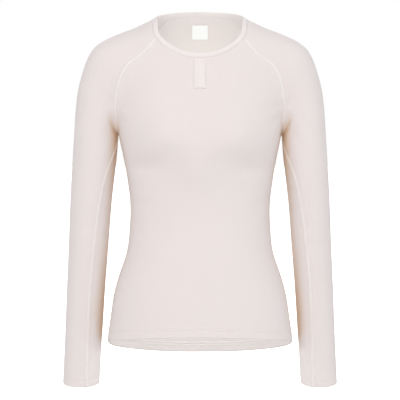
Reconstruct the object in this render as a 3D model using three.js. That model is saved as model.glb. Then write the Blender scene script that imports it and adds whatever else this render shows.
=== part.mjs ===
// A women's long-sleeved thermal base layer top, as it is worn: a close-fitting pullover with
// raglan sleeves, a bound neck, a short tab at centre front and a longer back.
// Millimetres, +Z up. The front faces -Y. The origin is midway between the shoulders, level with
// the points where the shoulders meet the neck.

import * as THREE from "three";

// Sizes of the cloth and its finishings
const CLOTH = 1.5;
const HEM_CLOTH = 2.7;
const SEAM_GAP = 0.32;
const BODY_HEM = 17;
const CUFF_HEM = 15;
const HEM_STEP = 1.2;
const BAND_WIDTH = 9.5;
const BAND_THICKNESS = 2.4;
const BAND_PROUD = 0.5;
const TAB_WIDTH = 20;
const TAB_LENGTH = 53;
const TAB_CLOTH = 1.3;
const TAB_DROP = 1.4;
const TAB_TOP_DROP = 0.1;
const LABEL_WIDTH = 29;
const LABEL_LENGTH = 26;
const LABEL_BELOW_BAND = 15;
const LABEL_CLOTH = 1;
const LABEL_PARTS = 4;
const LYING_GAP = 0.5;
const LABEL_GAP = 0.75;

// Lengths from the origin down
const SIDE_HEM = -584;
const FRONT_HEM_RISE = 21;
const BACK_HEM_RISE = -38;
const HEM_CURVE = 2.65;
const CUFF = -664;
const CUFF_TILT = 4.5;

// The underarm point is straight below a point inside the cloth.
const UNDERARM_X = 146.4;
const ABOVE_UNDERARM = -160;

// How finely the panels are divided
const BODY_COLUMNS = 22;
const SLEEVE_COLUMNS = 18;
const BODY_ROWS = 13;
const SLEEVE_ROWS = 14;
const RAGLAN_ROWS = 13;
const ROW_EASE = 1.2;
const SEAM_SAMPLES = 260;
const TAB_COLUMNS = 4;
const TAB_ROWS = 9;

// A table is written with its column names first, then one row for each section.
function table(columns, rows) {
  const names = columns.split(" ");
  return rows.map((row) => Object.fromEntries(row.map((value, i) => [names[i], value])));
}

// Level sections of the body: half width, depth before and behind the origin, and squareness,
// where 2 is an ellipse.
const BODY = table("z width front back square", [
  [-640, 168, 98, 118, 2.2],
  [-582, 167, 100, 118, 2.2],
  [-540, 161, 97, 117, 2.2],
  [-500, 155, 93, 110, 2.2],
  [-460, 144, 89, 97, 2.2],
  [-420, 131, 86, 84, 2.2],
  [-380, 126, 83, 74, 2.2],
  [-340, 124.5, 83, 71, 2.25],
  [-300, 128.5, 86, 75, 2.3],
  [-260, 135, 92, 84, 2.35],
  [-225, 142, 98, 93, 2.35],
  [-200, 147, 98, 99, 2.35],
  [-170, 151, 94, 103, 2.3],
  [-140, 155, 88, 104, 2.2],
  [-110, 160, 82, 103, 2.1],
  [-85, 166, 76, 99, 2.05],
  [-65, 167, 70.5, 94, 2],
  [-50, 168, 65, 89, 2],
  [-40, 160, 61.5, 86, 2],
  [-30, 141, 58, 82, 2],
  [-20, 117, 54.5, 78, 2],
  [-10, 96, 50.5, 74, 2],
  [-3, 81.5, 48, 71, 2],
  [3, 74, 46, 68, 2],
  [9, 69.5, 44, 64, 2],
  [18, 66, 43, 59, 2],
  [40, 63, 42, 56, 2],
]);

// Level sections of an arm: its middle, half width and half depth
const ARM = table("z x y width depth", [
  [-700, 219, 24, 33.5, 28],
  [-655, 216.5, 24, 33.5, 29],
  [-600, 213.6, 24, 33.6, 31],
  [-560, 211.3, 23, 33.9, 33],
  [-484, 207, 20, 34.7, 37],
  [-403, 201.5, 16, 36.1, 40.5],
  [-311, 195.2, 10.5, 38, 43.5],
  [-240, 188.5, 7, 39.6, 44.5],
  [-205, 186, 6, 39.8, 45],
  [-170, 182.3, 5, 41.2, 46],
  [-140, 177.6, 4, 42.6, 46],
  [-110, 170.6, 3, 43.2, 45],
  [-85, 162, 2, 43.2, 43],
  [-65, 153, 1, 43, 40],
  [-50, 142, 0, 40, 35],
  [-35, 128, 0, 26, 22],
  [-20, 112, 0, 8, 10],
  [40, 90, 0, 3, 4],
]);

// How far the cloth bridges between the arm and the body, level by level
const BRIDGE = table("z reach", [
  [-700, 4],
  [-235, 4],
  [-207, 4],
  [-190, 9],
  [-170, 21],
  [-145, 36],
  [-120, 50],
  [-80, 48],
  [-50, 26],
  [-25, 6],
  [40, 4],
]);

// The fullness that the front is cut with, on each side of the middle
const FULLNESS = { x: 62, z: -212, rise: 13, side: 54, above: 62, below: 36 };

// The free edge of the neckband: its level by the angle from the front, in degrees
const NECK_EDGE = table("angle z", [
  [-15, -63],
  [0, -65],
  [15, -63],
  [33, -55],
  [47, -42],
  [56, -28.5],
  [64, -14],
  [75, -4.5],
  [90, 1.5],
  [110, 5.5],
  [130, 8.5],
  [155, 11],
  [180, 12],
  [205, 11],
]);

// Where the raglan seams meet the neckband, in degrees from the front
const NECK_CUTS = { front: 53, back: 129 };

// The raglan seams as they are seen from the front and the back, from the underarm to the neck
const RAGLAN_FRONT = table("x z", [
  [146.6, -198],
  [148.2, -184],
  [150.3, -168],
  [146.8, -133],
  [139.5, -106],
  [123.5, -81.5],
  [105, -68],
]);
const RAGLAN_BACK = table("x z", [
  [146.6, -198],
  [148.6, -184],
  [151, -165],
  [147, -125],
  [131, -86],
  [106, -52],
  [80, -24],
]);

// The underarm seam of a sleeve turns forward on its way down, in degrees from the outside.
const SLEEVE_SEAM = table("z angle", [
  [-700, -118],
  [-317, -118],
  [-290, -124],
  [-250, -145],
  [-220, -168],
]);

// The sleeve is swept about a hub inside the body. Its middle lies this far from the hub at each
// angle above level.
const HUB_X = 75;
const SWEEP = table("angle reach y", [
  [-10, 112.4, 6],
  [0, 112.5, 6],
  [25, 119, 5],
  [45, 131, 3],
  [65, 149, 4],
  [85, 163, 6],
  [110, 168, 8],
]);
const SWEEP_MM_PER_DEGREE = 2.4;

// A crease narrower than the slope step is mitred, as the cloth turns there in its own thickness.
const SLOPE_STEP = 6;
const MARCH_STEP = 1;
const REACH_LIMIT = 340;
const RADIANS = Math.PI / 180;

// A natural cubic spline through one column of a table
function spline(rows, along, column) {
  const at = rows.map((row) => row[along]);
  const value = rows.map((row) => row[column]);
  const last = at.length - 1;
  const bend = new Array(last + 1).fill(0);
  const upper = new Array(last + 1).fill(0);
  for (let i = 1; i < last; i += 1) {
    const before = at[i] - at[i - 1];
    const after = at[i + 1] - at[i];
    const slopes = (value[i + 1] - value[i]) / after - (value[i] - value[i - 1]) / before;
    const pivot = 2 * (before + after) - before * upper[i - 1];
    upper[i] = after / pivot;
    bend[i] = (6 * slopes - before * bend[i - 1]) / pivot;
  }
  for (let i = last - 1; i > 0; i -= 1) bend[i] -= upper[i] * bend[i + 1];
  return (place) => {
    const x = Math.min(Math.max(place, at[0]), at[last]);
    let i = 0;
    while (i < last - 1 && x > at[i + 1]) i += 1;
    const span = at[i + 1] - at[i];
    const a = (at[i + 1] - x) / span;
    const b = 1 - a;
    const curve = (a ** 3 - a) * bend[i] + (b ** 3 - b) * bend[i + 1];
    return a * value[i] + b * value[i + 1] + (curve * span * span) / 6;
  };
}

const mix = (a, b, t) => a + (b - a) * t;
const vector = (x, y, z) => new THREE.Vector3(x, y, z);
const mirrored = (p) => vector(-p.x, p.y, p.z);

const body = {
  width: spline(BODY, "z", "width"),
  front: spline(BODY, "z", "front"),
  back: spline(BODY, "z", "back"),
  square: spline(BODY, "z", "square"),
};
const arm = {
  x: spline(ARM, "z", "x"),
  y: spline(ARM, "z", "y"),
  width: spline(ARM, "z", "width"),
  depth: spline(ARM, "z", "depth"),
};
const bridge = spline(BRIDGE, "z", "reach");
const neckLevel = spline(NECK_EDGE, "angle", "z");
const seamAngle = spline(SLEEVE_SEAM, "z", "angle");
const sweepReach = spline(SWEEP, "angle", "reach");
const sweepY = spline(SWEEP, "angle", "y");

function fullness(x, z) {
  const level = ((z - FULLNESS.z) / (z > FULLNESS.z ? FULLNESS.above : FULLNESS.below)) ** 2;
  const right = Math.exp(-(((x - FULLNESS.x) / FULLNESS.side) ** 2) - level);
  const left = Math.exp(-(((x + FULLNESS.x) / FULLNESS.side) ** 2) - level);
  return FULLNESS.rise * (left + right);
}

// Signed distances, near enough, to the outside of the cloth: below zero within it
function bodyField(x, y, z) {
  const depth = y < 0 ? body.front(z) : body.back(z);
  const filled = y < 0 ? y + fullness(x, z) * Math.min(-y / depth, 1) : y;
  const power = body.square(z);
  const reach = Math.hypot(x, filled) + 1e-6;
  const scale = (Math.abs(x / body.width(z)) ** power + Math.abs(filled / depth) ** power) ** (1 / power);
  return reach - reach / (scale + 1e-9);
}

function armField(x, y, z) {
  const across = Math.abs(x) - arm.x(z);
  const along = y - arm.y(z);
  const reach = Math.hypot(across, along) + 1e-6;
  return reach - reach / (Math.hypot(across / arm.width(z), along / arm.depth(z)) + 1e-9);
}

function field(x, y, z) {
  const a = bodyField(x, y, z);
  const b = armField(x, y, z);
  const reach = bridge(z);
  const share = Math.max(reach - Math.abs(a - b), 0) / reach;
  return Math.min(a, b) - (share * share * reach) / 4;
}

// The place where a line from inside first comes out through the cloth
function comeOut(from, way) {
  const unit = way.clone().normalize();
  const inside = (t) => field(from.x + unit.x * t, from.y + unit.y * t, from.z + unit.z * t) <= 0;
  let low = 0;
  while (low < REACH_LIMIT && inside(low + MARCH_STEP)) low += MARCH_STEP;
  let high = low + MARCH_STEP;
  for (let i = 0; i < 24; i += 1) {
    const middle = (low + high) / 2;
    if (inside(middle)) low = middle;
    else high = middle;
  }
  return from.clone().addScaledVector(unit, low);
}

function outward(p) {
  const e = SLOPE_STEP;
  const slope = vector(
    field(p.x + e, p.y, p.z) - field(p.x - e, p.y, p.z),
    field(p.x, p.y + e, p.z) - field(p.x, p.y - e, p.z),
    field(p.x, p.y, p.z + e) - field(p.x, p.y, p.z - e),
  );
  return slope.normalize();
}

// A point of the body at an angle from the front and a level
function bodyPoint(angle, z) {
  const way = vector(Math.sin(angle * RADIANS), -Math.cos(angle * RADIANS), 0);
  return comeOut(vector(0, 0, z), way);
}

const bodyAngle = (p) => Math.atan2(p.x, -p.y) / RADIANS;

// The free edge of the neckband and the seam below it, at an angle from the front
function neckEdge(angle) {
  const fromFront = Math.abs(angle % 360);
  return bodyPoint(angle, neckLevel(Math.min(fromFront, 360 - fromFront)));
}

function neckSeam(angle) {
  const edge = neckEdge(angle);
  const tangent = neckEdge(angle + 1).sub(neckEdge(angle - 1));
  const down = outward(edge).cross(tangent).normalize();
  const side = down.z < 0 ? 1 : -1;
  const below = edge.clone().addScaledVector(down, side * BAND_WIDTH);
  return bodyPoint(bodyAngle(below), below.z);
}

// The underarm point, where body and sleeve meet
const underarm = comeOut(vector(UNDERARM_X, 0, ABOVE_UNDERARM), vector(0, 0, -1));

// Points along a finely divided line, a little closer together at its start
function alongLine(line, count) {
  const lengths = [0];
  for (let i = 1; i < line.length; i += 1) lengths.push(lengths[i - 1] + line[i].distanceTo(line[i - 1]));
  const points = [];
  let i = 1;
  for (let k = 0; k <= count; k += 1) {
    const want = lengths.at(-1) * (k / count) ** ROW_EASE;
    while (i < line.length - 1 && lengths[i] < want) i += 1;
    const part = (want - lengths[i - 1]) / (lengths[i] - lengths[i - 1]);
    points.push(line[i - 1].clone().lerp(line[i], Math.min(part, 1)));
  }
  return points;
}

// A raglan seam on the wearer's left, from the underarm to the neck
function raglanSeam(rows, side, neckAngle) {
  const end = neckSeam(neckAngle);
  const stops = [underarm, ...rows, end];
  const path = [];
  let length = 0;
  stops.forEach((stop, i) => {
    if (i > 0) length += Math.hypot(stop.x - stops[i - 1].x, stop.z - stops[i - 1].z);
    path.push({ t: length, x: stop.x, z: stop.z });
  });
  const x = spline(path, "t", "x");
  const z = spline(path, "t", "z");
  const line = [underarm.clone()];
  for (let k = 1; k < SEAM_SAMPLES; k += 1) {
    const t = length * (k / SEAM_SAMPLES) ** 2;
    line.push(comeOut(vector(x(t), 0, z(t)), vector(0, side, 0)));
  }
  line.push(end);
  return alongLine(line, RAGLAN_ROWS);
}

const frontSeam = raglanSeam(RAGLAN_FRONT, -1, NECK_CUTS.front);
const backSeam = raglanSeam(RAGLAN_BACK, 1, NECK_CUTS.back);

// A grid in a flat map from its four edges. Each edge is a list of [a, b].
function fillGrid(bottom, top, left, right) {
  const grid = [];
  const columns = bottom.length - 1;
  const lengths = [0];
  for (let j = 1; j < left.length; j += 1) {
    const mean = (left[j][1] - left[j - 1][1] + right[j][1] - right[j - 1][1]) / 2;
    lengths.push(lengths[j - 1] + Math.abs(mean));
  }
  for (let j = 0; j < left.length; j += 1) {
    const v = lengths[j] / lengths.at(-1);
    const row = [];
    for (let i = 0; i <= columns; i += 1) {
      const u = i / columns;
      row.push([0, 1].map((k) => {
        const upright = mix(bottom[i][k], top[i][k], v);
        const level = mix(left[j][k], right[j][k], u);
        const corners = mix(mix(bottom[0][k], bottom[columns][k], u), mix(top[0][k], top[columns][k], u), v);
        return upright + level - corners;
      }));
    }
    grid.push(row);
  }
  return grid;
}

// Rows from a hem up: the edge, the top of the turned hem, just above it, then steps that shorten
// towards the underarm
function rowHeights(total, hem, steps) {
  const heights = [0, hem, hem + HEM_STEP];
  const rest = total - hem - HEM_STEP;
  for (let k = 1; k <= steps; k += 1) heights.push(total - rest * (1 - k / steps) ** ROW_EASE);
  return heights;
}

const hemLevel = (angle, rise) => SIDE_HEM + rise * (1 - Math.abs(angle / 90) ** HEM_CURVE);
const sideHeights = rowHeights(underarm.z - SIDE_HEM, BODY_HEM, BODY_ROWS);
const spread = (from, to, count) => Array.from({ length: count + 1 }, (_, i) => mix(from, to, i / count));

// The front or back as a grid of points on the outside of the cloth, from the hem up and from
// the wearer's right to the left. facing is 1 for the front and -1 for the back.
function bodyPanel(facing, seam, cut, rise) {
  const turn = (p) => [bodyAngle(vector(p.x, p.y * facing, 0)), p.z];
  const place = ([angle, z]) => {
    const way = vector(Math.sin(angle * RADIANS), -facing * Math.cos(angle * RADIANS), 0);
    return comeOut(vector(0, 0, z), way);
  };
  const sidePoints = sideHeights.slice(0, -1).map((h) => bodyPoint(90, SIDE_HEM + h));
  const edge = [...sidePoints, ...seam];
  const right = edge.map(turn);
  const left = right.map(([angle, z]) => [-angle, z]);
  const bottom = spread(-90, 90, BODY_COLUMNS).map((angle) => [angle, hemLevel(angle, rise)]);
  const neck = spread(-cut, cut, BODY_COLUMNS).map((angle) => neckSeam(facing > 0 ? angle : 180 - angle));
  const grid = fillGrid(bottom, neck.map(turn), left, right);
  const points = grid.map((row) => row.map(place));
  points.forEach((row, j) => {
    row[0] = mirrored(edge[j]);
    row[BODY_COLUMNS] = edge[j].clone();
  });
  points[points.length - 1] = neck;
  return points;
}

// The middle of a sleeve and the way that its sections face, by the distance along it, which is
// the level below the underarm and the sweep above it
function sleeveFrame(s) {
  if (s < 0) {
    const z = underarm.z + s;
    return { middle: vector(arm.x(z), arm.y(z), z), out: vector(1, 0, 0) };
  }
  const angle = s / SWEEP_MM_PER_DEGREE;
  const out = vector(Math.cos(angle * RADIANS), 0, Math.sin(angle * RADIANS));
  const middle = vector(HUB_X, sweepY(angle), underarm.z).addScaledVector(out, sweepReach(angle));
  return { middle, out };
}

function sleevePlace([angle, s]) {
  const { middle, out } = sleeveFrame(s);
  const way = out.clone().multiplyScalar(Math.cos(angle * RADIANS));
  way.y += Math.sin(angle * RADIANS);
  return comeOut(middle, way);
}

function sleeveTurn(p, behind) {
  const above = p.z - underarm.z;
  const s = above < 0 ? above : (SWEEP_MM_PER_DEGREE * Math.atan2(above, p.x - HUB_X)) / RADIANS;
  const { middle, out } = sleeveFrame(s);
  const away = p.clone().sub(middle);
  const angle = Math.atan2(away.y, away.dot(out)) / RADIANS;
  return [behind && angle < 0 ? angle + 360 : angle, s];
}

// The wearer's left sleeve, from the cuff up and from its front edge round to its back edge
function sleevePanel() {
  const heights = rowHeights(underarm.z - CUFF, CUFF_HEM, SLEEVE_ROWS).slice(0, -1);
  const start = sleeveTurn(underarm, false)[0];
  const seam = heights.map((h) => {
    const z = CUFF + h;
    return [Math.max(seamAngle(z), start), z - underarm.z];
  });
  const left = [...seam, ...frontSeam.map((p) => sleeveTurn(p, false))];
  const right = [...seam.map(([angle, s]) => [angle + 360, s]), ...backSeam.map((p) => sleeveTurn(p, true))];
  const cuffLevel = (angle) => CUFF + CUFF_TILT * Math.sin(angle * RADIANS) - underarm.z;
  const round = spread(left[0][0], right[0][0], SLEEVE_COLUMNS);
  const bottom = round.map((angle) => [angle, cuffLevel(angle)]);
  const neck = spread(NECK_CUTS.front, NECK_CUTS.back, SLEEVE_COLUMNS).map(neckSeam);
  const top = neck.map((p) => sleeveTurn(p, false));
  for (const edge of [left, right]) {
    edge.forEach((p, j) => {
      if (j < heights.length) p[1] = mix(cuffLevel(p[0]), 0, heights[j] / (underarm.z - CUFF));
    });
  }
  const points = fillGrid(bottom, top, left, right).map((row) => row.map(sleevePlace));
  frontSeam.forEach((p, k) => {
    points[heights.length + k][0] = p.clone();
    points[heights.length + k][SLEEVE_COLUMNS] = backSeam[k].clone();
  });
  points[points.length - 1] = neck;
  return points;
}

// Faces of a closed wall from its outer and inner grids of points
function wallGeometry(outer, inner) {
  const rows = outer.length;
  const columns = outer[0].length;
  const points = [...outer.flat(), ...inner.flat()];
  const at = (j, i) => j * columns + i;
  const within = rows * columns;
  const faces = [];
  const quad = (a, b, c, d) => faces.push(a, b, c, a, c, d);
  for (let j = 0; j < rows - 1; j += 1) {
    for (let i = 0; i < columns - 1; i += 1) {
      const [a, b, c, d] = [at(j, i), at(j, i + 1), at(j + 1, i + 1), at(j + 1, i)];
      const rising = points[a].distanceTo(points[c]) <= points[b].distanceTo(points[d]);
      if (rising) quad(a, b, c, d);
      else quad(b, c, d, a);
      if (rising) quad(within + a, within + d, within + c, within + b);
      else quad(within + d, within + c, within + b, within + a);
    }
  }
  const rim = [];
  for (let i = 0; i < columns; i += 1) rim.push(at(0, i));
  for (let j = 1; j < rows; j += 1) rim.push(at(j, columns - 1));
  for (let i = columns - 2; i >= 0; i -= 1) rim.push(at(rows - 1, i));
  for (let j = rows - 2; j > 0; j -= 1) rim.push(at(j, 0));
  rim.forEach((a, k) => {
    const b = rim[(k + 1) % rim.length];
    const rising = Math.floor(b / columns) > Math.floor(a / columns);
    if (rising) quad(a, within + a, within + b, b);
    else quad(b, a, within + a, within + b);
  });
  return solidGeometry(points, faces);
}

// A geometry from points and faces, turned outside out where it came inside out
function solidGeometry(points, faces) {
  let volume = 0;
  for (let k = 0; k < faces.length; k += 3) {
    const [a, b, c] = [points[faces[k]], points[faces[k + 1]], points[faces[k + 2]]];
    volume += a.dot(b.clone().cross(c));
  }
  const turned = volume < 0 ? faces.slice().reverse() : faces;
  const geometry = new THREE.BufferGeometry();
  geometry.setAttribute("position", new THREE.Float32BufferAttribute(points.flatMap((p) => p.toArray()), 3));
  geometry.setIndex(turned);
  geometry.computeVertexNormals();
  return geometry;
}

// Draws the edges of a grid in from its neighbours by half the seam gap, and its corner at the
// underarm along the cloth as well. The hem stays.
function drawIn(points, normals, underarmRow) {
  const rows = points.length;
  const columns = points[0].length;
  const moves = [];
  const step = SEAM_GAP / 2;
  for (let j = 0; j < rows; j += 1) {
    for (const i of [0, columns - 1]) {
      const along = points[Math.min(j + 1, rows - 1)][i].clone().sub(points[Math.max(j - 1, 0)][i]);
      const across = normals[j][i].clone().cross(along).normalize();
      const inner = points[j][i === 0 ? 1 : columns - 2].clone().sub(points[j][i]);
      moves.push([j, i, across.multiplyScalar(across.dot(inner) < 0 ? -step : step)]);
      if (j === underarmRow) moves.push([j, i, inner.clone().setLength(SEAM_GAP)]);
    }
  }
  for (let i = 0; i < columns; i += 1) {
    const j = rows - 1;
    const along = points[j][Math.min(i + 1, columns - 1)].clone().sub(points[j][Math.max(i - 1, 0)]);
    const across = normals[j][i].clone().cross(along).normalize();
    const inner = points[j - 1][i].clone().sub(points[j][i]);
    moves.push([j, i, across.multiplyScalar(across.dot(inner) < 0 ? -step : step)]);
  }
  for (const [j, i, move] of moves) points[j][i].add(move);
}

// A panel of cloth from its outer points, with its lowest rows doubled by a turned hem
function clothPanel(points) {
  const normals = points.map((row) => row.map(outward));
  drawIn(points, normals, points.length - frontSeam.length);
  const inner = points.map((row, j) => row.map((p, i) => {
    const thickness = j < 2 ? HEM_CLOTH : CLOTH;
    return p.clone().addScaledVector(normals[j][i], -thickness);
  }));
  return wallGeometry(points, inner);
}

const flipped = (points) => points.map((row) => row.map(mirrored).reverse());

// The angles of every panel point along the neck seam, once round from the wearer's right front
function neckAngles() {
  const { front, back } = NECK_CUTS;
  return [
    ...spread(-front, front, BODY_COLUMNS).slice(1),
    ...spread(front, back, SLEEVE_COLUMNS).slice(1),
    ...spread(back, 360 - back, BODY_COLUMNS).slice(1),
    ...spread(360 - back, 360 - front, SLEEVE_COLUMNS).slice(1),
  ];
}

// The neckband's section: how far up from the seam, as a share of its width, and how far out
const BAND_SECTION = table("up out", [
  [0, 0.1],
  [0.22, 0.85],
  [0.5, 1],
  [0.8, 0.85],
  [1, 0.25],
  [1, -0.25],
  [0.75, -0.9],
  [0.3, -1],
  [0, -0.75],
]);

function neckbandGeometry() {
  const middleOut = BAND_PROUD - BAND_THICKNESS / 2;
  const sections = neckAngles().map((angle) => {
    const seam = neckSeam(angle);
    const edge = neckEdge(angle);
    const up = edge.clone().sub(seam).normalize();
    const normal = outward(seam).add(outward(edge)).normalize();
    const low = seam.clone().addScaledVector(up, SEAM_GAP);
    const width = edge.distanceTo(seam) - SEAM_GAP;
    return BAND_SECTION.map((corner) => {
      const out = middleOut + (corner.out * BAND_THICKNESS) / 2;
      return low.clone().addScaledVector(up, corner.up * width).addScaledVector(normal, out);
    });
  });
  const sides = BAND_SECTION.length;
  const faces = [];
  sections.forEach((_, k) => {
    const next = ((k + 1) % sections.length) * sides;
    for (let i = 0; i < sides; i += 1) {
      const a = k * sides + i;
      const b = k * sides + ((i + 1) % sides);
      faces.push(a, next + i, next + ((i + 1) % sides), a, next + ((i + 1) % sides), b);
    }
  });
  return solidGeometry(sections.flat(), faces);
}

// The tab lies on the front from the neckband down, and its foot dips at the corners.
function tabGeometry() {
  const top = neckSeam(0).z - SEAM_GAP;
  const outer = [];
  const inner = [];
  for (let j = 0; j <= TAB_ROWS; j += 1) {
    const outerRow = [];
    const innerRow = [];
    for (let i = 0; i <= TAB_COLUMNS; i += 1) {
      const across = (2 * i) / TAB_COLUMNS - 1;
      const length = TAB_LENGTH - TAB_DROP * (1 - across * across);
      const x = (across * TAB_WIDTH) / 2;
      const z = top - TAB_TOP_DROP * across * across - (length * (TAB_ROWS - j)) / TAB_ROWS;
      const p = comeOut(vector(x, 0, z), vector(0, -1, 0));
      const normal = outward(p);
      innerRow.push(p.clone().addScaledVector(normal, LYING_GAP));
      outerRow.push(p.clone().addScaledVector(normal, LYING_GAP + TAB_CLOTH));
    }
    outer.push(outerRow);
    inner.push(innerRow);
  }
  return wallGeometry(outer, inner);
}

// The label lies against the inside of the back, just below the neckband.
function labelGeometry() {
  const top = neckSeam(180).z - LABEL_BELOW_BAND;
  const outer = [];
  const inner = [];
  for (let j = 0; j <= LABEL_PARTS; j += 1) {
    const outerRow = [];
    const innerRow = [];
    for (let i = 0; i <= LABEL_PARTS; i += 1) {
      const x = LABEL_WIDTH * (i / LABEL_PARTS - 0.5);
      const z = top - LABEL_LENGTH * (1 - j / LABEL_PARTS);
      const p = comeOut(vector(x, 0, z), vector(0, 1, 0));
      const normal = outward(p);
      outerRow.push(p.clone().addScaledVector(normal, -CLOTH - LABEL_GAP));
      innerRow.push(p.clone().addScaledVector(normal, -CLOTH - LABEL_GAP - LABEL_CLOTH));
    }
    outer.push(outerRow);
    inner.push(innerRow);
  }
  return wallGeometry(outer, inner);
}

const jersey = { color: 0xeae2df, roughness: 0.9, metalness: 0 };
const trim = { color: 0xf2e8e5, roughness: 0.88, metalness: 0 };
const paper = { color: 0xffffff, roughness: 0.7, metalness: 0 };

function piece(name, geometry, finish) {
  const mesh = new THREE.Mesh(geometry, new THREE.MeshStandardMaterial(finish));
  mesh.name = name;
  return mesh;
}

const front = bodyPanel(1, frontSeam, NECK_CUTS.front, FRONT_HEM_RISE);
const back = bodyPanel(-1, backSeam, 180 - NECK_CUTS.back, BACK_HEM_RISE);

const top = new THREE.Group();
top.name = "base_layer_top";
top.add(
  piece("front", clothPanel(front), jersey),
  piece("back", clothPanel(back), jersey),
  piece("sleeve_left", clothPanel(sleevePanel()), jersey),
  piece("sleeve_right", clothPanel(flipped(sleevePanel())), jersey),
  piece("neckband", neckbandGeometry(), trim),
  piece("centre_tab", tabGeometry(), trim),
  piece("back_neck_label", labelGeometry(), paper),
);

export default top;
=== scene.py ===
"""The looks of a women's long-sleeved thermal base layer top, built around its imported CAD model.

Every cloth panel follows the section tables of the CAD model on a finer grid, with soft creases,
rounded hem folds, flat seams, stitching and a procedural knit. Tables are in millimetres and
become metres where a mesh is made. +Z is up, the front faces -Y and the origin lies midway
between the shoulders.
"""

import math

import bmesh
import bpy
import numpy as np
from bpy.props import FloatProperty, FloatVectorProperty, PointerProperty
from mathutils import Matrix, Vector


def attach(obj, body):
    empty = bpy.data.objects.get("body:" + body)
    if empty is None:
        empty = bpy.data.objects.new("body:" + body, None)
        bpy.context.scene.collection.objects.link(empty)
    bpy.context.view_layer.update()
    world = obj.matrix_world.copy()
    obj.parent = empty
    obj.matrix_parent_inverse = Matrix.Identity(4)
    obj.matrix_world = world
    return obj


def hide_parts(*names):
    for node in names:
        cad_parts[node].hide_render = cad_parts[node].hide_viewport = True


bl_info = {
    "name": "Thermal Base Layer Top",
    "version": (1, 0, 0),
    "blender": (4, 2, 0),
    "location": "3D View > Sidebar > Base Layer",
    "description": "Builds a worn-shape long-sleeved thermal top with raglan sleeves",
    "category": "Add Mesh",
}

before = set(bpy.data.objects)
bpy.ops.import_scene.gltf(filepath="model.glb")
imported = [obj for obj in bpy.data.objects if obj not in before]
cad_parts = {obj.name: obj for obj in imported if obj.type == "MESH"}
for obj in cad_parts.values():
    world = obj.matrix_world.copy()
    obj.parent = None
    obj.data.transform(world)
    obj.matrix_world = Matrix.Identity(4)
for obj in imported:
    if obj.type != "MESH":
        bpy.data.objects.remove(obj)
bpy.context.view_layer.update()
MM = 0.001

# Level sections of the body: level, half width, depth before and behind, and squareness
BODY = np.array([
    (-640, 168, 98, 118, 2.2), (-582, 167, 100, 118, 2.2), (-540, 161, 97, 117, 2.2),
    (-500, 155, 93, 110, 2.2), (-460, 144, 89, 97, 2.2), (-420, 131, 86, 84, 2.2),
    (-380, 126, 83, 74, 2.2), (-340, 124.5, 83, 71, 2.25), (-300, 128.5, 86, 75, 2.3),
    (-260, 135, 92, 84, 2.35), (-225, 142, 98, 93, 2.35), (-200, 147, 98, 99, 2.35),
    (-170, 151, 94, 103, 2.3), (-140, 155, 88, 104, 2.2), (-110, 160, 82, 103, 2.1),
    (-85, 166, 76, 99, 2.05), (-65, 167, 70.5, 94, 2), (-50, 168, 65, 89, 2),
    (-40, 160, 61.5, 86, 2), (-30, 141, 58, 82, 2), (-20, 117, 54.5, 78, 2),
    (-10, 96, 50.5, 74, 2), (-3, 81.5, 48, 71, 2), (3, 74, 46, 68, 2),
    (9, 69.5, 44, 64, 2), (18, 66, 43, 59, 2), (40, 63, 42, 56, 2),
])

# Level sections of an arm: level, the place of its middle, half width and half depth
ARM = np.array([
    (-700, 219, 24, 33.5, 28), (-655, 216.5, 24, 33.5, 29), (-600, 213.6, 24, 33.6, 31),
    (-560, 211.3, 23, 33.9, 33), (-484, 207, 20, 34.7, 37), (-403, 201.5, 16, 36.1, 40.5),
    (-311, 195.2, 10.5, 38, 43.5), (-240, 188.5, 7, 39.6, 44.5), (-205, 186, 6, 39.8, 45),
    (-170, 182.3, 5, 41.2, 46), (-140, 177.6, 4, 42.6, 46), (-110, 170.6, 3, 43.2, 45),
    (-85, 162, 2, 43.2, 43), (-65, 153, 1, 43, 40), (-50, 142, 0, 40, 35),
    (-35, 128, 0, 26, 22), (-20, 112, 0, 8, 10), (40, 90, 0, 3, 4),
])

# The level where an arm's section has run out, and how steeply
ARM_END, ARM_FADE = -25, 1.2

# How far the cloth bridges between arm and body at each level
BRIDGE = np.array([
    (-700, 4), (-235, 4), (-207, 4), (-190, 9), (-170, 21), (-145, 36), (-120, 50), (-80, 48),
    (-50, 26), (-25, 6), (40, 4),
])

# The fullness of the front on each side of the middle
FULL_X, FULL_Z, FULL_RISE, FULL_SIDE, FULL_ABOVE, FULL_BELOW = 62, -212, 13, 54, 62, 36

# The neckband's free edge: angle from the front in degrees and level
NECK_EDGE = np.array([
    (-15, -63), (0, -65), (15, -63), (33, -55), (47, -42), (56, -28.5), (64, -14), (75, -4.5),
    (90, 1.5), (110, 5.5), (130, 8.5), (155, 11), (180, 12), (205, 11),
])
FRONT_CUT, BACK_CUT = 53, 129

# The raglan seams as seen from the front and the back, from the underarm to the neck
RAGLAN_FRONT = [
    (146.6, -198), (148.2, -184), (150.3, -168), (146.8, -133), (139.5, -106), (123.5, -81.5),
    (105, -68),
]
RAGLAN_BACK = [
    (146.6, -198), (148.6, -184), (151, -165), (147, -125), (131, -86), (106, -52), (80, -24),
]

# The sleeve's underarm seam by level, and the sweep of the sleeve's head about its hub
SLEEVE_SEAM = np.array([(-700, -118), (-317, -118), (-290, -124), (-250, -145), (-220, -168)])
SWEEP = np.array([
    (-10, 112.4, 6), (0, 112.5, 6), (25, 119, 5), (45, 131, 3), (65, 149, 4), (85, 163, 6),
    (110, 168, 8),
])
HUB_X = 75
SWEEP_MM_PER_DEGREE = 2.4
UNDERARM_START = (146.4, 0, -160)

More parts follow.
